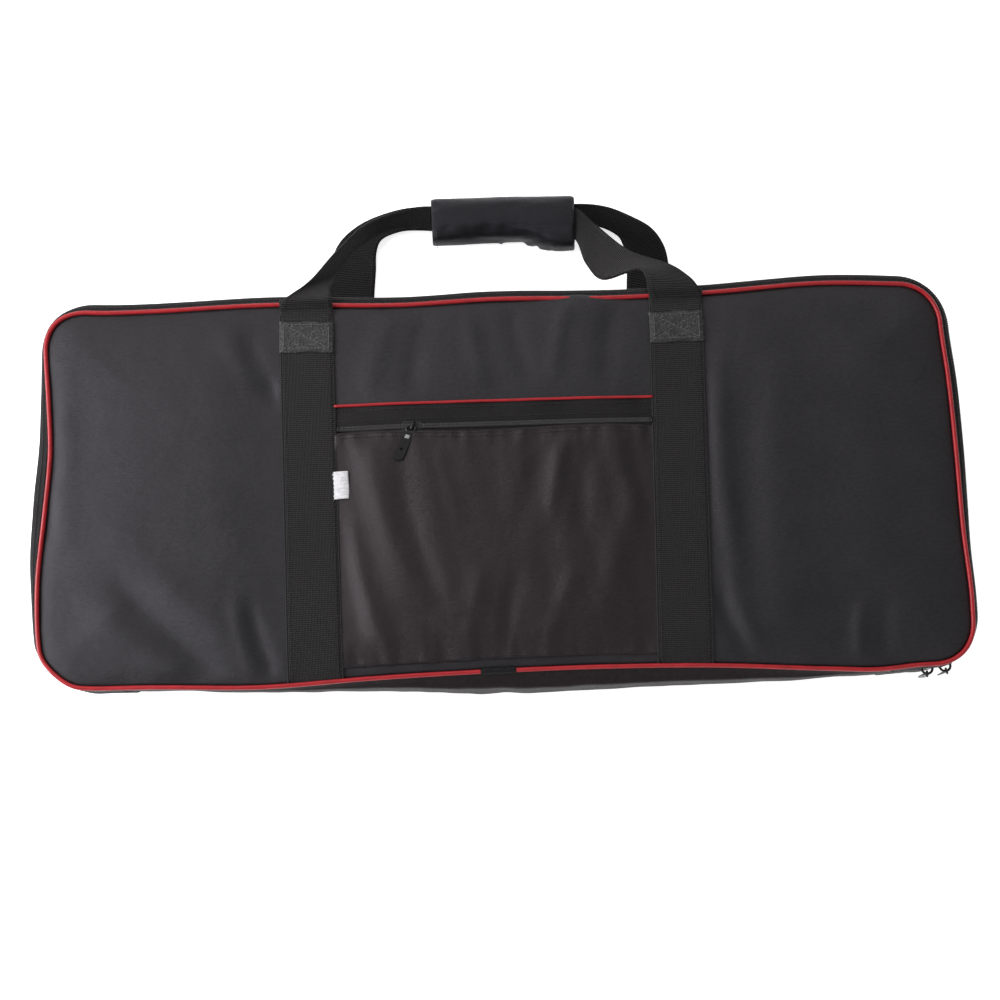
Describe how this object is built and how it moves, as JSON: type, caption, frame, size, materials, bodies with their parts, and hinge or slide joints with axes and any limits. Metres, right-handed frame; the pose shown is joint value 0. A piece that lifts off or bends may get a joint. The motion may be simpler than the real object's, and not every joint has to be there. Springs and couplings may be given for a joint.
{
  "type": "padded carry case",
  "caption": "Long flat padded fabric carry case with a zipped lid, red corded edge, zipped front pocket, sewn webbing handles and a padded grip wrap.",
  "frame": {"origin": "on the back panel's outer face and on the floor that the case lies on, under the middle of the front panel", "axes": "+X along the case's length to the viewer's right, +Y from the bottom seam to the handles, +Z out of the front panel"},
  "size_m": [0.8636, 0.5055, 0.1083],
  "materials": {
    "shell_fabric": "coated woven nylon with a soft sheen",
    "wall_fabric": "coated woven nylon with a soft sheen",
    "pocket_fabric": "thin coated nylon, satin",
    "webbing": "ribbed polypropylene webbing, matte",
    "leatherette": "pebbled leatherette, worn matte",
    "piping": "glossy covered cord",
    "binding": "woven tape, matte",
    "zip_tape": "woven zip tape, matte",
    "zip_coil": "nylon coil, slight gloss",
    "slider_metal": "black enamelled zinc, glossy",
    "stop_metal": "crimped steel",
    "foam": "closed-cell foam sheet",
    "lining": "smooth taffeta lining",
    "label_cloth": "woven satin label, blank",
    "wrap_fabric": "soft coated nylon over foam",
    "hook_loop": "hook and loop tape"
  },
  "bodies": {
    "base": {"back_panel": "shell_fabric", "back_foam": "foam", "back_seam_cord": "binding", "side_gusset": "wall_fabric", "bottom_gusset": "wall_fabric", "gusset_foam": "foam", "case_lining": "lining", "base_zip_tape": "zip_tape", "base_zip_coil": "zip_coil", "zip_end_stops": "stop_metal", "back_strap_left": "webbing", "back_strap_right": "webbing", "back_patch_left": "leatherette", "back_patch_right": "leatherette"},
    "back_handle": {"back_handle": "webbing"},
    "lid": {"front_panel": "shell_fabric", "front_foam": "foam", "front_lining": "lining", "front_piping": "piping", "piping_binding": "binding", "hinge_fold": "wall_fabric", "lid_zip_tape": "zip_tape", "lid_zip_coil": "zip_coil", "strap_left": "webbing", "strap_right": "webbing", "patch_left": "leatherette", "patch_right": "leatherette", "pocket_panel": "pocket_fabric", "pocket_zip_tape": "zip_tape", "pocket_zip_coil": "zip_coil", "pocket_zip_stops": "stop_metal", "pocket_piping": "piping", "pocket_label": "label_cloth"},
    "front_handle": {"front_handle": "webbing", "wrap_cover": "wrap_fabric", "wrap_padding": "foam", "wrap_loop_strip": "hook_loop"},
    "wrap_flap": {"wrap_flap": "wrap_fabric", "wrap_hook_strip": "hook_loop"},
    "pocket_slider": {"pocket_slider": "slider_metal"},
    "pocket_pull": {"pocket_pull": "slider_metal"},
    "slider_a": {"slider_a": "slider_metal"},
    "pull_a": {"pull_a": "slider_metal"},
    "slider_b": {"slider_b": "slider_metal"},
    "pull_b": {"pull_b": "slider_metal"}
  },
  "joints": [
    {"name": "lid_hinge", "type": "hinge", "parent": "base", "child": "lid", "pos_m": [0, -0.1945, 0.088], "axis": [1, 0, 0], "range_deg": [0, 150]},
    {"name": "front_handle_swing", "type": "hinge", "parent": "lid", "child": "front_handle", "pos_m": [0, 0.182, 0.1011], "axis": [1, 0, 0], "range_deg": [0, 140]},
    {"name": "back_handle_swing", "type": "hinge", "parent": "base", "child": "back_handle", "pos_m": [0, 0.1887, 0.0021], "axis": [1, 0, 0], "range_deg": [0, 56]},
    {"name": "wrap_flap_hinge", "type": "hinge", "parent": "front_handle", "child": "wrap_flap", "pos_m": [0, 0.263, 0.0228], "axis": [-1, 0, 0], "range_deg": [0, 110]},
    {"name": "pocket_zip_slide", "type": "slide", "parent": "lid", "child": "pocket_slider", "axis": [1, 0, 0], "range_m": [-0.055, 0.21]},
    {"name": "pocket_pull_hinge", "type": "hinge", "parent": "pocket_slider", "child": "pocket_pull", "pos_m": [-0.081, 0.056, 0.1064], "axis": [-0.9397, 0.342, 0], "range_deg": [0, 110]},
    {"name": "slider_a_slide", "type": "slide", "parent": "base", "child": "slider_a", "axis": [-1, 0, 0], "range_m": [0, 0.02]},
    {"name": "pull_a_hinge", "type": "hinge", "parent": "slider_a", "child": "pull_a", "pos_m": [0.381, -0.1861, 0.0844], "axis": [-1, 0, 0], "range_deg": [0, 75]},
    {"name": "slider_b_turn", "type": "hinge", "parent": "base", "child": "slider_b", "pos_m": [0.384, -0.1325, 0.0844], "axis": [0, 0, 1], "range_deg": [0, 74]},
    {"name": "pull_b_hinge", "type": "hinge", "parent": "slider_b", "child": "pull_b", "pos_m": [0.39877, -0.18402, 0.0844], "axis": [-0.9613, -0.2756, 0], "range_deg": [0, 75]}
  ],
  "couplings": [
    {"joint": "back_handle_swing", "follows": "front_handle_swing", "ratio": 0.4}
  ]
}
